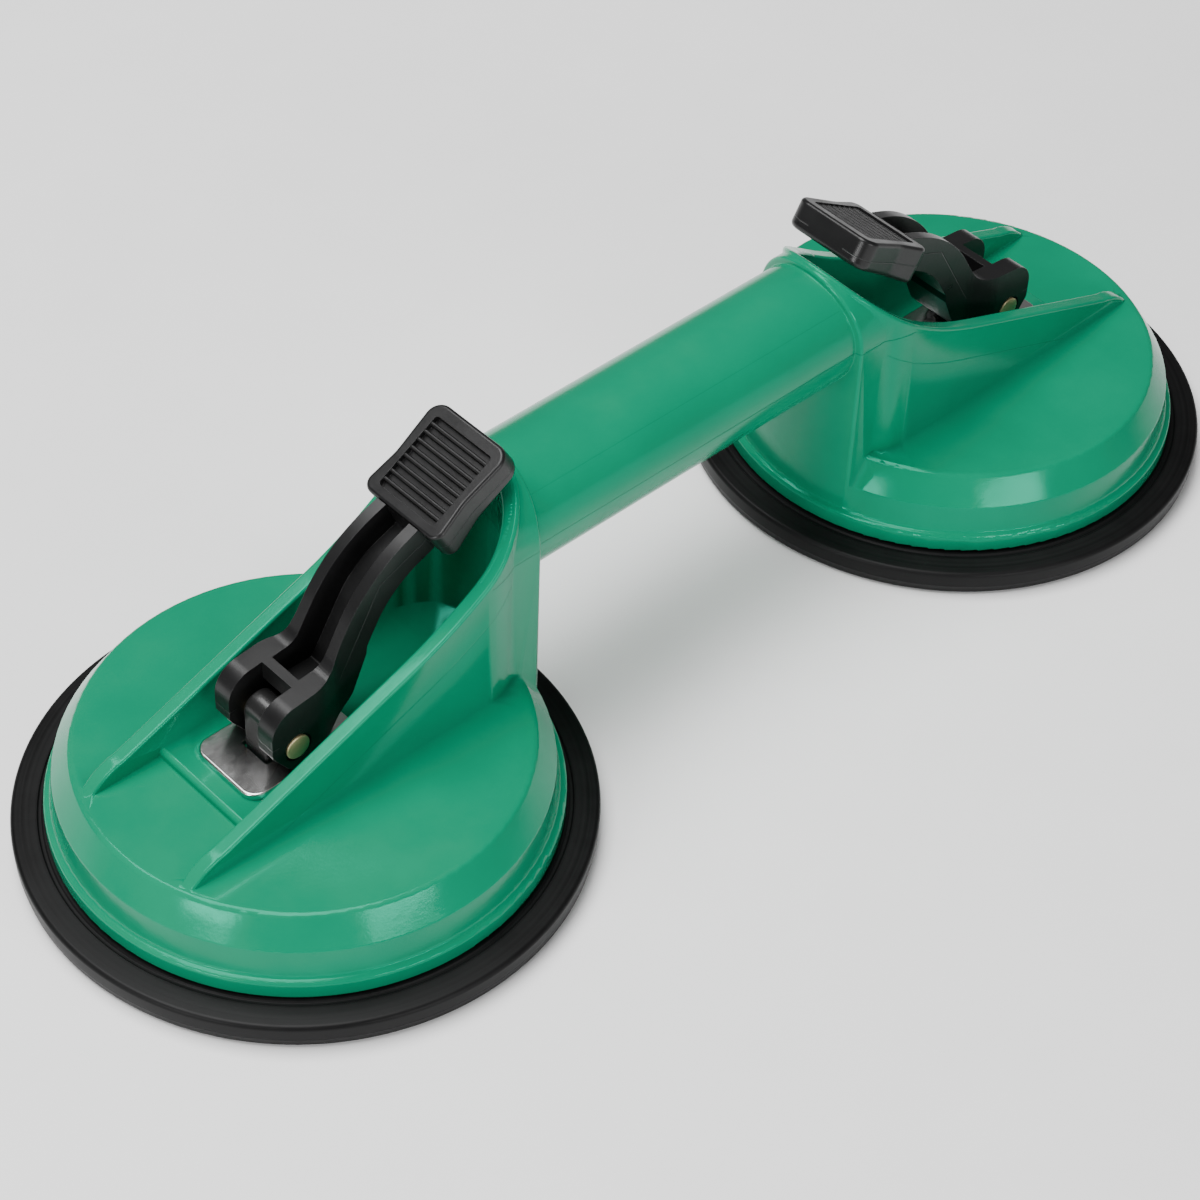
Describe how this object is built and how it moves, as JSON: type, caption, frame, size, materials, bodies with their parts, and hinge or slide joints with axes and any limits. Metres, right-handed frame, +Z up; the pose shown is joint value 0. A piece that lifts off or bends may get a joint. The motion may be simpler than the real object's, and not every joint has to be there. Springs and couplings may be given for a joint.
{
  "type": "double cup suction lifter",
  "caption": "Hand lifter for tiles and glass: a round handle between rubber suction cups, each with a cam lever that pulls its middle up to hold.",
  "frame": {"origin": "on the floor, midway between the two cups", "axes": "+X along the handle to the right cup, +Y to the far side, +Z up"},
  "size_m": [0.3068, 0.1188, 0.0801],
  "materials": {
    "housing_plastic": "satin gloss with a fine moulded grain",
    "cup_rubber": "smooth satin",
    "anchor_steel": "zinc plated",
    "eye_metal": "black oxide",
    "spring_steel": "bright wire",
    "plate_steel": "finely polished",
    "lever_plastic": "satin black",
    "pin_brass": "pale yellow plating"
  },
  "bodies": {
    "frame": {"frame_body": "housing_plastic", "rubber_cup_left": "cup_rubber", "rubber_cup_right": "cup_rubber", "wear_plate_left": "plate_steel", "wear_plate_right": "plate_steel", "spring_seat_left": "anchor_steel", "spring_seat_right": "anchor_steel", "return_spring_left": "spring_steel", "return_spring_right": "spring_steel"},
    "pull_left": {"anchor_disc_left": "anchor_steel", "anchor_stud_left": "anchor_steel", "lock_nut_left": "anchor_steel", "pull_eye_left": "eye_metal"},
    "pull_right": {"anchor_disc_right": "anchor_steel", "anchor_stud_right": "anchor_steel", "lock_nut_right": "anchor_steel", "pull_eye_right": "eye_metal"},
    "lever_left": {"cam_lever_left": "lever_plastic", "pivot_pin_left": "pin_brass"},
    "lever_right": {"cam_lever_right": "lever_plastic", "pivot_pin_right": "pin_brass"}
  },
  "joints": [
    {"name": "drop_left", "type": "slide", "parent": "frame", "child": "pull_left", "axis": [0, 0, -1], "range_m": [0, 0.0016], "deforming": ["rubber_cup_left", "return_spring_left"]},
    {"name": "drop_right", "type": "slide", "parent": "frame", "child": "pull_right", "axis": [0, 0, -1], "range_m": [0, 0.0016], "deforming": ["rubber_cup_right", "return_spring_right"]},
    {"name": "lift_left", "type": "hinge", "parent": "pull_left", "child": "lever_left", "pos_m": [-0.1023, 0, 0.0338], "axis": [0, -1, 0], "range_deg": [0, 55]},
    {"name": "lift_right", "type": "hinge", "parent": "pull_right", "child": "lever_right", "pos_m": [0.1023, 0, 0.0338], "axis": [0, 1, 0], "range_deg": [0, 55]}
  ],
  "couplings": [
    {"joint": "drop_left", "follows": "lift_left", "m_per_rad": 0.0016668},
    {"joint": "drop_right", "follows": "lift_right", "m_per_rad": 0.0016668}
  ]
}
